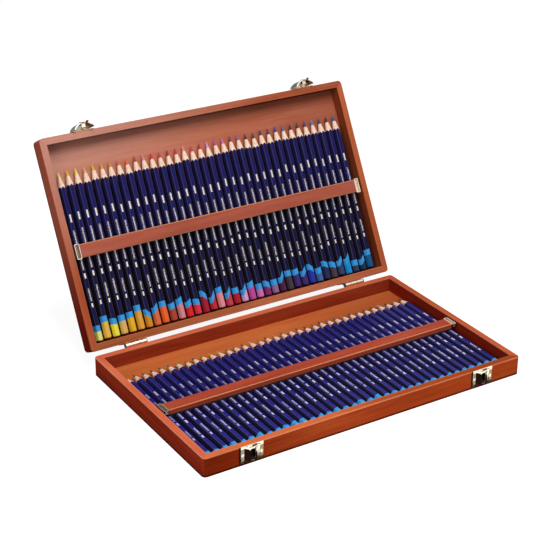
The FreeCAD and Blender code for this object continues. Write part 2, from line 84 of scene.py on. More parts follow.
# Charts of both rows: end colour, length of the painted end in millimetres, slant of its edge
LID_CHART = (
    ("#e2e87c", 9.7, 0.0),
    ("#e3b548", 17.0, 0.1),
    ("#e9e23e", 12.5, -0.3),
    ("#dcb062", 13.7, 0.0),
    ("#e2ae28", 14.8, 0.1),
    ("#dfa038", 19.4, 0.0),
    ("#cb8c2e", 10.8, -1.5),
    ("#d46c3e", 15.0, 1.4),
    ("#ea642c", 17.0, 0.0),
    ("#a34832", 12.5, 0.4),
    ("#d58488", 16.0, 0.7),
    ("#d32c2c", 11.4, 0.9),
    ("#d23646", 10.0, -0.4),
    ("#9e2234", 15.4, -1.5),
    ("#bc2e3a", 10.8, 2.2),
    ("#de8a90", 16.0, 0.3),
    ("#c23e52", 11.4, 2.0),
    ("#aa2434", 11.4, 0.1),
    ("#d39dcc", 10.0, 2.0),
    ("#b94a94", 13.7, 0.7),
    ("#c971b6", 8.6, 0.0),
    ("#7c2e6a", 8.6, -1.0),
    ("#916692", 9.0, 0.0),
    ("#4c2543", 13.0, 2.2),
    ("#413b42", 15.0, 0.0),
    ("#402f74", 13.7, 0.4),
    ("#412f70", 12.0, 1.6),
    ("#2838a2", 13.0, -1.3),
    ("#42669e", 9.0, 0.3),
    ("#272f56", 13.0, -0.9),
    ("#483d48", 11.0, -0.8),
    ("#33466c", 12.5, 1.6),
    ("#1c8ed0", 14.0, 2.0),
    ("#2d4064", 7.0, 0.0),
    ("#183a50", 8.0, 1.4),
    ("#1a588c", 14.3, 0.2),
)
BASE_CHART = (
    ("#0f4a52", 9.0, 0.4),
    ("#0d5c58", 8.0, -0.6),
    ("#146a58", 8.6, 0.0),
    ("#0c4a3c", 10.5, 0.2),
    ("#1d7a4c", 8.4, 0.8),
    ("#2c6a40", 9.4, -0.3),
    ("#54c23e", 11.5, 0.9),
    ("#2c7a34", 8.8, 0.0),
    ("#3c5c2c", 9.0, 0.5),
    ("#8a9a30", 10.0, -0.8),
    ("#c4ce3a", 12.2, 0.6),
    ("#e8e2b0", 12.4, 0.0),
    ("#7a7440", 9.0, 0.3),
    ("#b08a4a", 9.8, 1.2),
    ("#5c4a2a", 8.8, -0.5),
    ("#e6d6b2", 12.0, 0.7),
    ("#a8743c", 9.4, 0.0),
    ("#7a4c2c", 9.0, 0.9),
    ("#e0a890", 12.2, -0.9),
    ("#8a4a34", 9.4, 0.2),
    ("#d88c82", 12.0, 0.7),
    ("#6c3428", 8.6, 0.0),
    ("#54302a", 9.2, -0.4),
    ("#7c5a4a", 9.8, 1.3),
    ("#4a3a34", 8.9, 0.2),
    ("#8a7c74", 9.3, 0.0),
    ("#6a625e", 9.0, 0.8),
    ("#a8a49c", 9.8, -0.7),
    ("#4c4c52", 9.0, 0.3),
    ("#7c808a", 9.2, 0.9),
    ("#5c6474", 8.8, 0.0),
    ("#3a4252", 9.4, 0.4),
    ("#c8c8c4", 9.0, -0.5),
    ("#2c2e34", 9.4, 0.8),
    ("#8c8e92", 9.0, 0.0),
    ("#1c1e22", 9.4, 0.2),
)


def paint(code):
    """Turn a colour as written on a chart into the light values that shaders use."""
    parts = [int(code[i:i + 2], 16) / 255 for i in (1, 3, 5)]
    return tuple(c / 12.92 if c <= 0.04045 else ((c + 0.055) / 1.055) ** 2.4 for c in parts) + (1,)


def tones(*codes):
    return tuple(paint(code) for code in codes)


def scaled(colour, share):
    """A colour made darker or lighter by one share."""
    return tuple(c * share for c in colour[:3]) + (1,)


def stand(name, data):
    """Put a new object into the scene."""
    thing = bpy.data.objects.new(name, data)
    bpy.context.scene.collection.objects.link(thing)
    return thing


# Shader maths
class Wire:
    """A node's output that can be used in sums."""

    def __init__(self, graph, socket):
        self.graph = graph
        self.socket = socket

    def sum(self, operation, *others):
        """One maths node, with this value first."""
        values = {index: other for index, other in enumerate((self,) + others)}
        return self.graph.add("ShaderNodeMath", values, operation=operation)

    def __add__(self, other):
        return self.sum("ADD", other)

    def __sub__(self, other):
        return self.sum("SUBTRACT", other)

    def __rsub__(self, other):
        return self.sum("MULTIPLY_ADD", -1, other)

    def __mul__(self, other):
        return self.sum("MULTIPLY", other)

    def __truediv__(self, other):
        return self.sum("DIVIDE", other)

    def __lt__(self, other):
        return self.sum("LESS_THAN", other)

    def __gt__(self, other):
        return self.sum("GREATER_THAN", other)

    def part(self, name):
        """Another output of the same node."""
        return Wire(self.graph, self.socket.node.outputs[name])

    def axes(self):
        """The three coordinates of a place."""
        split = self.graph.add("ShaderNodeSeparateXYZ", {0: self})
        return split.part("X"), split.part("Y"), split.part("Z")

    def between(self, low, high):
        """1 where the value lies between two others, and 0 elsewhere."""
        return (self > low) * (self < high)

    def ramp(self, low, high, start=0.0, end=1.0):
        """Rise smoothly from one value to another as this one goes from low to high."""
        values = {"Value": self, "From Min": low, "From Max": high, "To Min": start, "To Max": end}
        return self.graph.add("ShaderNodeMapRange", values, interpolation_type="SMOOTHSTEP")


class Graph:
    """A material's or modifier's node tree while it is being written."""

    def __init__(self, tree):
        self.tree = tree

    def add(self, kind, values=None, output=0, stops=None, **settings):
        """Add a node: its settings first, then the values or links of its sockets."""
        node = self.tree.nodes.new(kind)
        for name, value in settings.items():
            setattr(node, name, value)
        if stops:
            ramp = node.color_ramp
            while len(ramp.elements) < len(stops):
                ramp.elements.new(0.5)
            for element, (place, colour) in zip(ramp.elements, stops):
                element.position = place
                element.color = colour
        for key, value in (values or {}).items():
            socket = node.inputs[key]
            if isinstance(value, Wire):
                self.tree.links.new(value.socket, socket)
            else:
                socket.default_value = value
        return Wire(self, node.outputs[output]) if node.outputs else None

    def mix(self, factor, first, second, blend="MIX"):
        """Blend two colours, which are sockets 6 and 7 of the node."""
        values = {"Factor": factor, 6: first, 7: second}
        return self.add("ShaderNodeMix", values, output=2, data_type="RGBA", blend_type=blend)


def new_material(name):
    material = bpy.data.materials.new(name)
    material.use_nodes = True
    material.node_tree.nodes.clear()
    return material, Graph(material.node_tree)


def close(graph, shader):
    graph.add("ShaderNodeOutputMaterial", {"Surface": shader})


def direct_rays(graph):
    """1 for rays of the camera, of reflections and through clear things, and 0 for all others."""
    rays = graph.add("ShaderNodeLightPath", output="Is Camera Ray")
    mirrored, passed = rays.part("Is Glossy Ray"), rays.part("Is Transmission Ray")
    return rays.sum("MAXIMUM", mirrored).sum("MAXIMUM", passed)


def distance(first, second, middle, weights=(1, 1)):
    """How far two coordinates lie from a middle, with the squares weighted."""
    squares = [(axis - start) * (axis - start) * weight
               for axis, start, weight in zip((first, second), middle, weights)]
    return (squares[0] + squares[1]).sum("SQRT")


# Wood
# Multipliers of painted shade: at the rails' feet, towards the boards' right side and under the
# lid's far rail
FOOT_SHADE = (0.2, 0.1, 0.1, 1)
RIGHT_SHADE = (0.78, 0.68, 0.64, 1)
RAIL_SHADE = (0.35, 0.22, 0.22, 1)


def tray_place(graph, in_lid):
    """Coordinates from the middle of a tray: X along its width, and Y up the lid or to the back."""
    place = graph.add("ShaderNodeTexCoord", output="Object")
    if not in_lid:
        return place
    turned_back = Matrix.Rotation(-LID_TURN, 4, "X")
    shift = turned_back @ -HINGE_LINE - Vector((0, LID_MIDDLE, 0))
    return graph.add("ShaderNodeMapping", {
        "Vector": place, "Rotation": turned_back.to_euler(), "Location": shift})


def stretched(graph, place, scale, detail, rough=0.55, distortion=0.0):
    """Noise drawn out by its own scale on each axis."""
    laid = graph.add("ShaderNodeMapping", {"Vector": place, "Scale": scale})
    return graph.add("ShaderNodeTexNoise", {
        "Vector": laid, "Scale": 1.0, "Detail": detail, "Roughness": rough,
        "Distortion": distortion})


def wood_grain(graph, place, stain, across=False, shift=0.0):
    """Colour, streaks and pits of close-grained wood under a reddish stain, grain along a piece."""
    turn = (0, 0, math.radians(90)) if across else (0, 0, 0)
    laid = graph.add("ShaderNodeMapping", {
        "Vector": place, "Rotation": turn, "Location": (shift, shift, 0)})
    broad = stretched(graph, laid, (7, 60, 60), 3, 0.6, 0.6)
    streaks = stretched(graph, laid, (14, 420, 420), 4, 0.65, 0.3)
    pores = stretched(graph, laid, (90, 2600, 2600), 2, 0.7)
    clouds = stretched(graph, laid, (9, 26, 26), 2, 0.5)
    tone = broad * 0.42 + streaks * 0.38 + clouds * 0.2
    stops = tuple(zip((0.34, 0.5, 0.68), stain))
    colour = graph.add("ShaderNodeValToRGB", {0: tone}, stops=stops)
    pits = pores.ramp(0.36, 0.52)
    return graph.mix(pits * 0.25 + 0.75, stain[0], colour), streaks, pits


def satin_wood(graph, colour, streaks, pits, shine):
    """Shader of lacquered wood."""
    bump = graph.add("ShaderNodeBump", {
        "Strength": 0.12, "Distance": 0.0002, "Height": streaks * 0.5 + pits * 0.5})
    return graph.add("ShaderNodeBsdfPrincipled", {
        "Base Color": colour, "Roughness": streaks * 0.12 + 0.42, "Specular IOR Level": shine,
        "Normal": bump})


def add_painted_haze(graph, place, colour, strength):
    """Painted light: a pale haze on the upper left of the raised lid."""
    x, y = place.axes()[:2]
    high_left = (y / INNER_HALF[1] - x / INNER_HALF[0]).ramp(0.4, 2.0)
    return graph.mix(high_left * strength, colour, paint("#e6cfc6"))


def rail_wood(
        name, stain, outer, inner, rim, in_lid=False, across=False, shift=0.0, line=0.5, painted_haze=0.0):
    """Rail with painted shade on its inner wall; outer and rim are pairs of painted light-and-shade
    multipliers, from left to right.
    """
    material, graph = new_material(name)
    place = tray_place(graph, in_lid)
    colour, streaks, pits = wood_grain(graph, place, stain, across, shift)
    x, y, z = place.axes()
    top, skin = (LID_RIM, LID_SKIN) if in_lid else (BASE_RIM, BASE_SKIN)

    # How far a point lies beyond the inner walls, and from where the corners start to turn
    past = [axis.sum("ABSOLUTE") - half for axis, half in zip((x, y), INNER_HALF)]
    beyond = past[0].sum("MAXIMUM", past[1])
    past_x, past_y = [(away - (RAIL - CORNER)).sum("MAXIMUM", 0.0) for away in past]
    reach = (past_x * past_x + past_y * past_y).sum("SQRT")
    on_skin = reach > CORNER - 0.0003

    # Painted light and shade: the rim and the outer skin are lightened or darkened from left to
    # right, and the inner wall is darkened
    rim_light = graph.mix(x.ramp(-0.15, 0.13), *rim)
    colour = graph.mix(z > top - 0.0002, colour, rim_light, "MULTIPLY")
    skin_shading = graph.mix(x.ramp(-0.185, -0.03), *outer)
    colour = graph.mix(on_skin, colour, skin_shading, "MULTIPLY")
    colour = graph.mix(beyond < 0.0001, colour, inner, "MULTIPLY")

    # Painted highlight along both edges of the rim
    edge = (reach > CORNER - 0.0008).sum("MAXIMUM", beyond < 0.0004) * (z > top - 0.0008)
    colour = graph.mix(edge * (streaks * 0.5 + 0.75) * line, colour, paint("#e8a082"))
    if in_lid:
        # Painted light: the lid's left flank is paler towards the catches
        flank_light = on_skin * (x < -0.18) * y.ramp(-0.1, 0.05)
        colour = graph.mix(flank_light * 0.9, colour, paint("#cc6a50"))

    # Painted shade darkens the last millimetres before the flat underside or back
    foot = z.ramp(skin + 0.0008, skin + 0.0032, 1.0, 0.0)
    colour = graph.mix(foot, colour, FOOT_SHADE, "MULTIPLY")
    if painted_haze:
        colour = add_painted_haze(graph, place, colour, (reach < CORNER - 0.0003) * painted_haze)
    close(graph, satin_wood(graph, colour, streaks, pits, 0.0))
    return material


def board_wood(name, stain, in_lid=False, shift=0.0, painted_haze=0.0):
    """Tray board with painted shade inside: darker to the right, under the lid's far rail and
    between the pencils.
    """
    material, graph = new_material(name)
    place = tray_place(graph, in_lid)
    colour, streaks, pits = wood_grain(graph, place, stain, shift=shift)
    x, y, z = place.axes()
    if painted_haze:
        colour = add_painted_haze(graph, place, colour, painted_haze)
    inside = z > (LID_BOARD_TOP if in_lid else BASE_BOARD_TOP)
    # Painted shade towards the right
    colour = graph.mix(x.ramp(0.0, 0.17) * inside, colour, RIGHT_SHADE, "MULTIPLY")
    # Painted shadow of the lid's far rail on the board
    if in_lid:
        rail_shadow = y.ramp(0.088, INNER_HALF[1]) * inside * 0.35
        colour = graph.mix(rail_shadow, colour, RAIL_SHADE, "MULTIPLY")
    # Painted shade in the gaps between the pencils
    shade_between_pencils = y.ramp(0.048, 0.066, 0.9, 0.0) * inside
    colour = graph.mix(shade_between_pencils, colour, paint("#160810"))
    close(graph, satin_wood(graph, colour, streaks, pits, 0.03))
    return material


def bar_wood(name, stain, in_lid=False, shift=0.0, painted_haze=0.0):
    """Retaining bar, with painted highlights along its two long edges."""
    material, graph = new_material(name)
    place = tray_place(graph, in_lid)
    colour, streaks, pits = wood_grain(graph, place, stain, shift=shift)
    y, z = place.axes()[1:]
    if painted_haze:
        colour = add_painted_haze(graph, place, colour, painted_haze)
    middle = LID_BAR_MIDDLE - LID_MIDDLE if in_lid else BASE_BAR_MIDDLE
    top = (LID_RIM if in_lid else BASE_RIM) - BAR_SINK
    # Painted highlight along both long edges of the top
    edge = ((y - middle).sum("ABSOLUTE") > BAR_HALF - 0.0007) * (z > top - 0.0009)
    colour = graph.mix(edge * (streaks + 0.3), colour, paint("#d8905c"))
    close(graph, satin_wood(graph, colour, streaks, pits, 0.03))
    return material


# Metal
def pale_nickel(name, tint, rough, patches=None):
    """Nickel plate, softly brushed, with small dull marks; patches adds colour by place, such as
    painted light and shade.
    """
    material, graph = new_material(name)
    place = graph.add("ShaderNodeTexCoord", output="Object")
    cloud = graph.add("ShaderNodeTexNoise", {"Vector": place, "Scale": 320.0, "Detail": 3.0})
    fine = stretched(graph, place, (300, 300, 3000), 2)
    colour = graph.mix(cloud.ramp(0.35, 0.7), tint, scaled(tint, 0.72))
    if patches:
        colour = patches(graph, colour)
    bump = graph.add("ShaderNodeBump", {"Strength": 0.1, "Distance": 0.00005, "Height": fine})
    close(graph, graph.add("ShaderNodeBsdfPrincipled", {
        "Base Color": colour, "Metallic": 1.0, "Roughness": cloud * 0.2 + rough, "Normal": bump}))
    return material


def along_fitting(graph, in_lid, middle):
    """Millimetre coordinates whose first axis starts in the middle of each fitting of a pair."""
    x, y, z = [axis * 1000 for axis in tray_place(graph, in_lid).axes()]
    return x - x.sum("SIGN") * middle, y, z


def keeper_light_and_shade(graph, colour):
    """Painted light and shade on the keeper: a dark arch over its window, a bright shield that fades
    downwards and darker flanges.
    """
    along, deep, high = along_fitting(graph, False, CATCH_MIDDLE)
    # Painted reflection: the shield is bright at the top and olive lower down
    shield_reflection = graph.mix(high.ramp(4.5, 15), paint("#6e5c3c"), paint("#f6ecd2"))
    colour = graph.mix(along.between(2.4, 9.4), colour, shield_reflection)

    # Painted shade on both flanges, each with a painted highlight on its nail
    colour = graph.mix((along < -6.2) * 0.75, colour, paint("#7a6a58"))
    left_nail_glint = distance(along, high, (-9.3, 11)) < 1.5
    colour = graph.mix(left_nail_glint, colour, paint("#f4e4d4"))
    colour = graph.mix((along > 9.0) * (high < 16.6) * 0.85, colour, paint("#877a5a"))
    right_nail_glint = distance(along, high, (10.8, 10), (1, 0.4)) < 1.2
    colour = graph.mix(right_nail_glint, colour, paint("#fff2d4"))

    # Painted shade in the arch over the window, with a painted glint and a painted line of light,
    # and painted shade in the recess behind it
    over_window = (high - 11.5).sum("MAXIMUM", 0)
    arch_shade = (distance(along, over_window, (-1.3, 0), (5.2 ** -2, 6.2 ** -2)) < 1) * (high > 2.9)
    colour = graph.mix(arch_shade, colour, paint("#170d08"))
    glint = distance(along, high, (-1.6, 8), (1.6, 0.5)) < 1.5
    colour = graph.mix(glint, colour, paint("#d89a8c"))
    light_line = along.between(0.1, 0.7) * high.between(4, 14)
    colour = graph.mix(light_line, colour, paint("#c8b8a0"))
    recess_shade = (deep > -115.2) * along.between(-7.8, 2.2)
    colour = graph.mix(recess_shade, colour, paint("#1d110a"))

    # Painted highlight on the upper lip, and painted shade in its slot, on the foot and at the left
    # end
    colour = graph.mix(high > 17.7, colour, paint("#fff4dc"))
    slot_shade = along.between(1.5, 9.5) * high.between(18.1, 18.9)
    colour = graph.mix(slot_shade, colour, paint("#2a2014"))
    colour = graph.mix(high.ramp(4.2, 6.8, 0.9, 0.0), colour, paint("#2c160a"))
    return graph.mix(along < -11.3, colour, paint("#241608"))


def latch_light_and_marks(graph, colour):
    """Painted light and shade: dark along the bowed outline and at the left end, a pink loop ringed
    dark and a pale lip; also a coppery foot and a brass-coloured spot low on the right.
    """
    along, deep, high = along_fitting(graph, True, CATCH_MIDDLE)
    # Where the bow ends, in millimetres up from the lid's middle
    outline = 117.6
    colour = graph.mix(deep.ramp(111.2, 113.0, 1.0, 0.0) * 0.8, colour, paint("#8a5438"))
    # Painted shade beyond the bowed outline and at the left end
    rise = deep - outline + along * along * 0.035
    colour = graph.mix(rise.ramp(-0.4, 0.5), colour, paint("#1d1610"))
    colour = graph.mix((along < -9.8) * 0.85, colour, paint("#20140e"))
    # The loop: a painted pink reflection in a ring of painted shade
    loop = distance(along, deep, (8.6, outline), (0.16, 1))
    colour = graph.mix(loop.between(1.0, 1.9), colour, paint("#2a1614"))
    colour = graph.mix(loop < 1.0, colour, paint("#e8a49c"))
    brass_spot = distance(along, deep, (3.4, 113.2)) < 1.3
    colour = graph.mix(brass_spot, colour, paint("#8c7038"))
    # Painted highlight on the finger lip, painted darker and pinker towards its right end
    lip = graph.mix(along > 2.5, paint("#fffaf4"), paint("#3a2220"))
    lip = graph.mix(along.between(4.5, 8.5), lip, paint("#d8988c"))
    return graph.mix(high > 3.5, colour, lip)


def hinge_light_and_shade(graph, colour):
    """Painted light and shade: pale above and darker below, with dark ends."""
    along, _, high = along_fitting(graph, False, HINGE_MIDDLE)
    colour = graph.mix(high.ramp(21.0, 21.8, 0.9, 0.0), colour, paint("#b08670"))
    return graph.mix(along.sum("ABSOLUTE") > 11.6, colour, paint("#33241a"))


def clip_patches(graph, colour):
    """Dull inside the left clip and pale inside the right one."""
    x = graph.add("ShaderNodeTexCoord", output="Object").axes()[0]
    return graph.mix(x < 0, paint("#ecdcc8"), graph.mix(0.12, paint("#6c5a42"), colour))


BOX_FACES = ((0, 2, 3, 1), (4, 5, 7, 6), (0, 1, 5, 4), (2, 6, 7, 3), (0, 4, 6, 2), (1, 3, 7, 5))


def spring_clips(name, body, place, middle, low, high):
    """The pair of bent strips at a bar's ends: a square frame on a ribbed back plate."""
    near, far, half, sheet = CLIP_NEAR, CLIP_FAR, CLIP_HALF, CLIP_SHEET
    frame_blocks = (
        ((near, -half, low), (near + sheet, half, high)),
        ((far - sheet, -half, low), (far, half, high)),
        ((near, half - sheet, low), (far, half, high)),
        ((near, -half, low), (far, sheet - half, high)))
    back_blocks = (
        ((near, -half, low), (far, half, low + sheet)),
        ((near + 0.0021, 0.002 - half, low + sheet), (far - 0.0024, half - 0.002, low + 2 * sheet)))
    blocks = frame_blocks + back_blocks
    spots, faces, parts = [], [], []
    for side in (-1, 1):
        for one, other in blocks:
            first = len(spots)
            for k in range(8):
                corner = [(one, other)[k >> axis & 1][axis] for axis in range(3)]
                spots.append((side * corner[0], corner[1] + middle, corner[2]))
            for quad in BOX_FACES:
                faces.append([first + k for k in (quad if side > 0 else quad[::-1])])
                parts.append(int((one, other) in back_blocks))
    mesh = bpy.data.meshes.new(name)
    mesh.from_pydata(spots, [], faces)
    mesh.transform(place)
    mesh.materials.append(pale_nickel(name + "_nickel", paint("#f2e2d4"), 0.25))
    mesh.materials.append(pale_nickel(name + "_back", paint("#e6d6c6"), 0.3, clip_patches))
    mesh.polygons.foreach_set("material_index", parts)
    thing = stand(name, mesh)
    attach(thing, body)
    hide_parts(body + "_springs")


def soft_plastic(name, colour):
    material, graph = new_material(name)
    place = graph.add("ShaderNodeTexCoord", output="Object")
    speckle = graph.add("ShaderNodeTexNoise", {"Vector": place, "Scale": 900.0, "Detail": 2.0})
    bump = graph.add("ShaderNodeBump", {"Strength": 0.2, "Distance": 0.0001, "Height": speckle})
    close(graph, graph.add("ShaderNodeBsdfPrincipled", {
        "Base Color": graph.mix(speckle, colour, scaled(colour, 1.6)),
        "Roughness": speckle * 0.2 + 0.5, "Normal": bump}))
    return material


# Pencil finish, in millimetres on the pencil: half of a facet's width and just past it
FACET_HALF = 2.08
PAST_FACET = 2.1

# Full foil marks: start and end from the blunt end, half width
FOIL_MARKS = ((124.7, 132.9, 0.9), (65.4, 70.6, 0.9), (35, 39.2, 0.8))


def pencil_finish(name, lacquers, near_shading, near_shading_share, foil, evenness):
    """Lead, bare wood, dark lacquer with foil marks, a light band and a dipped end."""
    material, graph = new_material(name)

    def stored(title, output):
        return graph.add("ShaderNodeAttribute", output=output, attribute_name=title)

    # Millimetres on the pencil itself: across, along from the blunt end, and up
    x, y, z = [axis * 1000 for axis in stored("own_place", "Vector").axes()]
    from_middle = x.sum("ABSOLUTE")
    dip, slant, chance = stored("varied", "Vector").axes()
    bare = stored("sharpened", "Fac")
    texture = graph.add("ShaderNodeTexCoord", output="Object")

    radius = (x * x + z * z).sum("SQRT")
    from_tip = PENCIL_LENGTH * 1000 - y
    wobble = graph.add("ShaderNodeTexNoise", {"Vector": texture, "Scale": 900.0, "Detail": 1.0})
    is_lead = (radius + (wobble - 0.5) * 0.25 < LEAD_RADIUS * 1000) * (from_tip < 30)

    fibre = stretched(graph, texture, (900, 120, 900), 2)
    wood = graph.mix(fibre.ramp(0.3, 0.7), paint("#e6c0a0"), paint("#f4dccb"))
    # Painted light and shade on the near side of the bar, painted shade on the facets that lean
    # left, and painted highlights along the corners
    lacquer = graph.mix(wobble.ramp(0.3, 0.8), paint(lacquers[0]), paint(lacquers[1]))
    far = y.ramp(86, 98)
    lacquer = graph.mix((1 - far) * near_shading_share, lacquer, paint(near_shading))
    lacquer = graph.mix((x < -PAST_FACET) * (0.85 - far * 0.35), lacquer, paint("#1b1b22"))
    corner = (from_middle - FACET_HALF).sum("ABSOLUTE") < 0.22
    lacquer = graph.mix(corner * 0.35, lacquer, paint("#6a6490"))

    # The dipped end and the light band beyond it, both with the pencil's own slant
    edge = y - slant * x.sum("MAXIMUM", -PAST_FACET).sum("MINIMUM", PAST_FACET)
    dipped = edge < dip
    band = edge.between(dip, dip + 6.3)

    # Foil marks on the facet that faces up: full ones, and two rows of ticks
    shifted = y - (chance - 0.5) * 3
    spot = graph.add("ShaderNodeCombineXYZ", {0: chance * 77 + x * 0.8, 1: y * 1.5, 2: 0.0})
    ticks = graph.add("ShaderNodeTexNoise", {
        "Vector": spot, "Scale": 1.0, "Detail": 1.0, "Roughness": 0.4}) > 0.44
    ticked = shifted.between(74, 116) * 0.8 + shifted.between(41.5, chance * 7 + 50.5) * 0.75
    marks = ticked * ticks * (from_middle < 0.82)
    for low, high, half in FOIL_MARKS:
        marks = marks + shifted.between(low, high) * (from_middle < half)
    marks = (z > FLAT_RADIUS * 900) * marks.sum("MINIMUM", 1)
    worn = (chance * 7).sum("FRACT") * (1 - evenness) + evenness
    marks = marks * worn * (1 - far * (1 - evenness) * 0.6)

    colour = graph.mix(marks, lacquer, paint(foil))
    colour = graph.mix(band, colour, paint("#3a9ade"))
    colour = graph.mix(dipped, colour, stored("end_colour", "Color"))
    colour = graph.mix(bare, colour, wood)
    colour = graph.mix(is_lead, colour, stored("lead_colour", "Color"))
    rough = bare.sum("MAXIMUM", is_lead) * 0.35 + marks * 0.1 + wobble * 0.08 + 0.22
    foiled = marks * (1 - dipped) * (1 - bare) * 0.4
    close(graph, graph.add("ShaderNodeBsdfPrincipled", {
        "Base Color": colour, "Roughness": rough, "Metallic": foiled, "Specular IOR Level": 0.06}))
    return material


def whitened(name, strength):
    """Plain pale floor: white to the camera and in reflections, and it keeps a thing's shadow."""
    material, graph = new_material(name)
    matt = graph.add("ShaderNodeBsdfDiffuse", {"Color": (0.36, 0.36, 0.36, 1)})
    glow = graph.add("ShaderNodeEmission", {"Color": (1, 1, 1, 1), "Strength": strength})
    both = graph.add("ShaderNodeAddShader", {0: matt, 1: glow})
    close(graph, graph.add("ShaderNodeMixShader", {0: direct_rays(graph), 1: matt, 2: both}))
    return material


# Pencils
def pencil_mesh():
    """A sharpened hexagonal pencil along Y, blunt end first, point at the far end, top facet up."""
    facet = (-30, -27, -23, 0, 23, 27)
    turns = [math.radians(90 + 60 * side + step) for side in range(6) for step in facet]
    corner = FLAT_RADIUS / math.cos(math.radians(30)) - CORNER_WEAR
    reach = [min(FLAT_RADIUS / math.cos(math.radians(step)), corner) for step in facet * 6]
    rings = [[(r * share, along) for r in reach] for share, along in BLUNT_RINGS]
    rings.append([(r, PENCIL_LENGTH - (r - POINT_RADIUS) / SLOPE) for r in reach])
    for r in (LEAD_RADIUS, POINT_RADIUS * 2, POINT_RADIUS):
        rings.append([(r, PENCIL_LENGTH - (r - POINT_RADIUS) / SLOPE)] * len(reach))
    spots = []
    for ring in rings:
        for (r, along), turn in zip(ring, turns):
            spots.append((r * math.cos(turn), along, r * math.sin(turn)))
    count = len(turns)
    last = (len(rings) - 1) * count
    faces = []
    for low in range(0, last, count):
        high = low + count
        for k in range(count):
            following = (k + 1) % count
            faces.append((low + k, high + k, high + following, low + following))
    blunt, tip = len(spots), len(spots) + 1
    spots += [(0, 0, 0), (0, PENCIL_LENGTH + POINT_RADIUS * 0.4, 0)]
    for k in range(count):
        following = (k + 1) % count
        faces.append((blunt, k, following))
        faces.append((last + following, last + k, tip))
    mesh = bpy.data.meshes.new("pencil_shape")
    mesh.from_pydata(spots, [], faces)
    place = mesh.attributes.new("own_place", "FLOAT_VECTOR", "POINT")
    place.data.foreach_set("vector", [value for spot in spots for value in spot])
    # The bands past the blunt rings are cone, and after all bands every second face is the tip's
    cut = mesh.attributes.new("sharpened", "FLOAT", "FACE")
    sharpened = [float(n >= CONE_START * count and (n < last or n % 2)) for n in range(len(faces))]
    cut.data.foreach_set("value", sharpened)
    mesh.shade_smooth()
    mesh.set_sharp_from_angle(angle=math.radians(9))
    return mesh


def row_tree():
    """Stand copies of the given pencil side by side, each pushed along and cut a little shorter."""
    tree = bpy.data.node_groups.new("pencil_row", "GeometryNodeTree")
    sides = tree.interface
    sides.new_socket("Pencil", in_out="INPUT", socket_type="NodeSocketGeometry")
    for name, kind in (
            ("Count", "Int"), ("Pitch", "Float"), ("Push", "Float"), ("Shortening", "Float"),
            ("Seed", "Int"), ("Finish", "Material")):
        sides.new_socket(name, in_out="INPUT", socket_type="NodeSocket" + kind)
    sides.new_socket("Row", in_out="OUTPUT", socket_type="NodeSocketGeometry")
    graph = Graph(tree)
    given = graph.add("NodeGroupInput", output="Count")
    count, pitch = given, given.part("Pitch")
    start = graph.add("ShaderNodeCombineXYZ", {0: (1 - count) * pitch * 0.5})
    step = graph.add("ShaderNodeCombineXYZ", {0: pitch})
    line = graph.add("GeometryNodeMeshLine", {
        "Count": count, "Start Location": start, "Offset": step})
    number = graph.add("GeometryNodeInputIndex")

    def share(seed):
        """A random number for each pencil; sockets 2 and 3 are its lowest and highest value."""
        values = {2: 0.0, 3: 1.0, "ID": number, "Seed": seed}
        return graph.add("FunctionNodeRandomValue", values, output=1, data_type="FLOAT")

    pushed = share(given.part("Seed")) * given.part("Push")
    shortened = share(given.part("Seed") + 1) * given.part("Shortening")
    away = graph.add("ShaderNodeCombineXYZ", {1: pushed})
    line = graph.add("GeometryNodeSetPosition", {"Geometry": line, "Offset": away})
    scale = graph.add("ShaderNodeCombineXYZ", {0: 1.0, 1: 1 - shortened, 2: 1.0})
    placed = graph.add("GeometryNodeInstanceOnPoints", {
        "Points": line, "Instance": given.part("Pencil"), "Scale": scale})
    numbered = graph.add("GeometryNodeStoreNamedAttribute", {
        "Geometry": placed, "Name": "pencil", "Value": number}, data_type="INT", domain="INSTANCE")
    real = graph.add("GeometryNodeRealizeInstances", {"Geometry": numbered})
    done = graph.add("GeometryNodeSetMaterial", {
        "Geometry": real, "Material": given.part("Finish")})
    graph.add("NodeGroupOutput", {"Row": done})
    return tree


def plain_copy(maker, name):
    """The evaluated object as a plain mesh object, and its maker removed."""
    bpy.context.view_layer.update()
    depsgraph = bpy.context.evaluated_depsgraph_get()
    mesh = bpy.data.meshes.new_from_object(maker.evaluated_get(depsgraph), depsgraph=depsgraph)
    bpy.data.objects.remove(maker)
    mesh.name = name
    return stand(name, mesh)


def pencil_row(name, body, chart, place, seed, finish, tree, hidden, lean, fade):
    """One tray's row in its chart's colours: hidden is in millimetres, lean and fade are shares."""
    maker = stand(name + "_maker", pencil_mesh())
    modifier = maker.modifiers.new("row", "NODES")
    modifier.node_group = tree
    inputs = [item for item in tree.interface.items_tree if item.in_out == "INPUT"]
    sockets = {item.name: item.identifier for item in inputs}
    for key, value in (
            ("Count", PENCILS), ("Pitch", PITCH), ("Push", PUSH), ("Shortening", SHORTENING),
            ("Seed", seed), ("Finish", finish)):
        modifier[sockets[key]] = value
    row = plain_copy(maker, name)
    mesh = row.data
    mesh.transform(place)
    numbers = [0] * len(mesh.vertices)
    mesh.attributes["pencil"].data.foreach_get("value", numbers)
    chance = random.Random(seed)
    varied = [(length - hidden, slant * lean, chance.random()) for _, length, slant in chart]
    ends = [paint(code) for code, _, _ in chart]
    dull = paint("#80604c")
    leads = [tuple(own + (plain - own) * fade for own, plain in zip(end, dull)) for end in ends]
    for title, colours in (("end_colour", ends), ("lead_colour", leads)):
        layer = mesh.attributes.new(title, "FLOAT_COLOR", "POINT")
        layer.data.foreach_set("color", [value for n in numbers for value in colours[n]])
    layer = mesh.attributes.new("varied", "FLOAT_VECTOR", "POINT")
    layer.data.foreach_set("vector", [value for n in numbers for value in varied[n]])
    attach(row, body)
    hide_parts(*["%s_%d" % (body, number) for number in range(1, 7)])


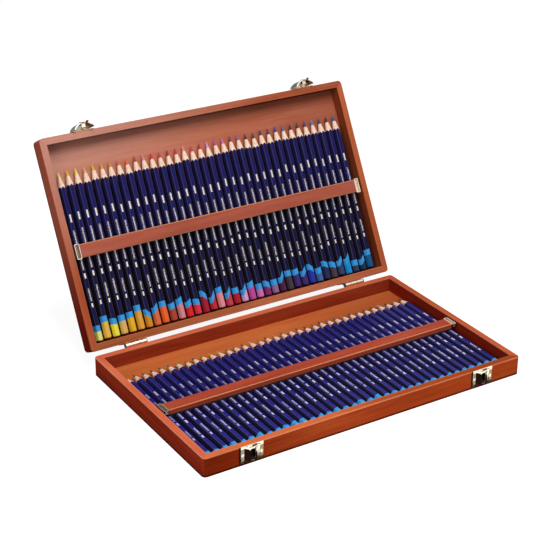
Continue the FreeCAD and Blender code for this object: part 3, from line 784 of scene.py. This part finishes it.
# Scene
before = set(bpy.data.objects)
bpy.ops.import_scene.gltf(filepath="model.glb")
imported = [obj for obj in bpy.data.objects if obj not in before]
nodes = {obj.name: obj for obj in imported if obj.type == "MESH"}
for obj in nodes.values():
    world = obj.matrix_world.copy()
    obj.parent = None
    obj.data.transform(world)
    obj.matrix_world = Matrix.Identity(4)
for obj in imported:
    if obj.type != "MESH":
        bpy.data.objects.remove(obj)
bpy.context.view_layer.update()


def finish_nodes(material, *names):
    """Give CAD nodes their one material."""
    for name in names:
        slots = nodes[name].data.materials
        slots.clear()
        slots.append(material)


# Stains, and pairs of painted light-and-shade multipliers from the left end to the right one
base_stain = tones("#9c4a2a", "#bd5d37", "#ce764c")
lid_stain = tones("#8e462c", "#a65a3c", "#b86e4c")
outside_shading = ((0.56, 0.24, 0.13, 1), (1.08, 0.68, 0.44, 1))
base_flank_shading = ((0.75, 0.33, 0.36, 1), (0.98, 0.58, 0.36, 1))
lid_flank_shading = ((0.6, 0.15, 0.12, 1), (0.98, 0.58, 0.36, 1))
base_rim_light = ((1.3, 1.18, 1.4, 1), (1.1, 1.0, 1.0, 1))
base_front_rim_light = ((1.5, 1.6, 1.5, 1), (0.7, 0.55, 0.3, 1))
lid_front_rim_light = ((1.2, 1.12, 0.95, 1), (0.87, 0.72, 0.72, 1))
lid_back_rim_light = ((1.0, 1.05, 0.85, 1), (1.25, 1.35, 1.4, 1))
lid_side_rim_light = ((1.15, 0.95, 0.8, 1), (1.2, 1.05, 0.85, 1))

# The base's rails, board and bar
# The multipliers for the base's inner walls are painted shade
base_inner_shade = (0.6, 0.35, 0.33, 1)
stain = rail_wood(
    "base_front_stain", base_stain, outside_shading, base_inner_shade, base_front_rim_light, shift=0.3, line=0.35)
finish_nodes(stain, "base_front_rail")
stain = rail_wood("base_back_stain", base_stain, outside_shading, base_inner_shade, base_rim_light, shift=1.1)
finish_nodes(stain, "base_back_rail")
stain = rail_wood(
    "base_side_stain", base_stain, base_flank_shading, (0.55, 0.2, 0.22, 1), base_rim_light, across=True,
    shift=0.7)
finish_nodes(stain, "base_left_rail", "base_right_rail")
stain = board_wood("base_board_stain", tones("#ac572d", "#c26534", "#ce7544"), shift=1.3)
finish_nodes(stain, "base_panel")
stain = bar_wood("base_bar_stain", tones("#92392a", "#ab4631", "#b95a42"), shift=2.1)
finish_nodes(stain, "base_bar")

# The lid's rails, board and bar
# The multipliers for the lid's inner walls are painted shade, darkest under the far rail
stain = rail_wood(
    "lid_front_stain", lid_stain, outside_shading, (0.25, 0.1, 0.08, 1), lid_front_rim_light, in_lid=True,
    shift=1.9, line=0.12, painted_haze=0.25)
finish_nodes(stain, "lid_front_rail")
stain = rail_wood(
    "lid_back_stain", lid_stain, outside_shading, (1.0, 0.5, 0.4, 1), lid_back_rim_light, in_lid=True, shift=5.2,
    line=0.25)
finish_nodes(stain, "lid_back_rail")
stain = rail_wood(
    "lid_side_stain", lid_stain, lid_flank_shading, (0.68, 0.52, 0.4, 1), lid_side_rim_light, in_lid=True,
    across=True, shift=2.6, line=0.15, painted_haze=0.25)
finish_nodes(stain, "lid_left_rail", "lid_right_rail")
stain = board_wood(
    "lid_board_stain", tones("#a4583e", "#b5694f", "#c27a60"), in_lid=True, shift=3.1, painted_haze=0.2)
finish_nodes(stain, "lid_panel")
stain = bar_wood(
    "lid_bar_stain", tones("#92483a", "#a85542", "#b46450"), in_lid=True, shift=4.4, painted_haze=0.06)
finish_nodes(stain, "lid_bar")

# Combs and metal
finish_nodes(soft_plastic("dark_comb", paint("#18161a")), "base_bar_comb", "lid_bar_comb")
warm = paint("#ece0c8")
nickel = pale_nickel("keeper_nickel", warm, 0.25, keeper_light_and_shade)
finish_nodes(nickel, "strike_plates")
nickel = pale_nickel("latch_nickel", warm, 0.25, latch_light_and_marks)
finish_nodes(nickel, "latch_plates", "hasp_left", "hasp_right")
nickel = pale_nickel("hinge_nickel", warm, 0.25, hinge_light_and_shade)
finish_nodes(nickel, "base_hinge_leaves", "lid_hinge_leaves")
spring_clips("base_clips", "base_bar", Matrix.Identity(4), BASE_BAR_MIDDLE, *BASE_CLIP_HEIGHTS)
spring_clips("lid_clips", "lid_bar", LID_FRAME, LID_BAR_MIDDLE, *LID_CLIP_HEIGHTS)

# Pencil rows, each placed by its blunt ends and the height of its axes
base_paint = pencil_finish(
    "base_pencil_finish", ("#211d68", "#2b2780"), near_shading="#24218a", near_shading_share=0.3, foil="#f2eef2",
    evenness=0.5)
lid_paint = pencil_finish(
    "lid_pencil_finish", ("#18164e", "#211f62"), near_shading="#0e0d1c", near_shading_share=0.6, foil="#e2dacb",
    evenness=0.9)
row = row_tree()
base_place = Matrix.Translation((0, -0.1027, 0.0082))
lid_place = LID_FRAME @ Matrix.Translation((0, 0.011, -0.01045))
pencil_row(
    "base_pencil_row", "base_pencils", BASE_CHART, base_place, seed=11, finish=base_paint, tree=row,
    hidden=2.2, lean=0.5, fade=0.45)
pencil_row(
    "lid_pencil_row", "lid_pencils", LID_CHART, lid_place, seed=5, finish=lid_paint, tree=row,
    hidden=0.0, lean=0.75, fade=0.15)

# Floor, lamps and camera
floor_mesh = bpy.data.meshes.new("floor")
floor_mesh.from_pydata([(-6, -6, 0), (6, -6, 0), (6, 6, 0), (-6, 6, 0)], [], [(0, 1, 2, 3)])
floor = stand("floor", floor_mesh)
floor_mesh.materials.append(whitened("pale_floor", 0.9))

world = bpy.data.worlds.new("studio")
bpy.context.scene.world = world
world.use_nodes = True
world.node_tree.nodes.clear()
air = Graph(world.node_tree)
plain = air.add("ShaderNodeBackground", {"Color": (1, 1, 1, 1), "Strength": 0.12})
white = air.add("ShaderNodeBackground", {"Color": (1, 1, 1, 1), "Strength": 1.0})
around = air.add("ShaderNodeMixShader", {0: direct_rays(air), 1: plain, 2: white})
air.add("ShaderNodeOutputWorld", {"Surface": around})


def lamp(name, place, aim, width, power):
    """A soft square lamp, turned towards what it lights."""
    data = bpy.data.lights.new(name, "AREA")
    data.size = width
    data.energy = power
    thing = stand(name, data)
    thing.location = place
    thing.rotation_euler = (Vector(aim) - Vector(place)).to_track_quat("-Z", "Y").to_euler()


lamp("key_lamp", (0, -0.27, 1.25), (0, 0.05, 0.05), 0.8, 14)
lamp("front_lamp", (0.1, -0.9, 0.3), (0, 0, 0.08), 0.4, 1.7)
lamp("left_lamp", (-1.0, -0.35, 0.45), (0, 0, 0.08), 0.5, 2.5)

camera_data = bpy.data.cameras.new("camera")
camera_data.lens = 98.72
camera_data.sensor_width = 36
camera_data.shift_y = -0.1
camera = stand("camera", camera_data)
camera.location = (-0.76359, -1.13035, 0.77332)
camera.rotation_euler = [math.radians(angle) for angle in (65.9944, -0.7866, -32.4241)]
bpy.context.scene.camera = camera
bpy.context.scene.view_settings.view_transform = "Standard"
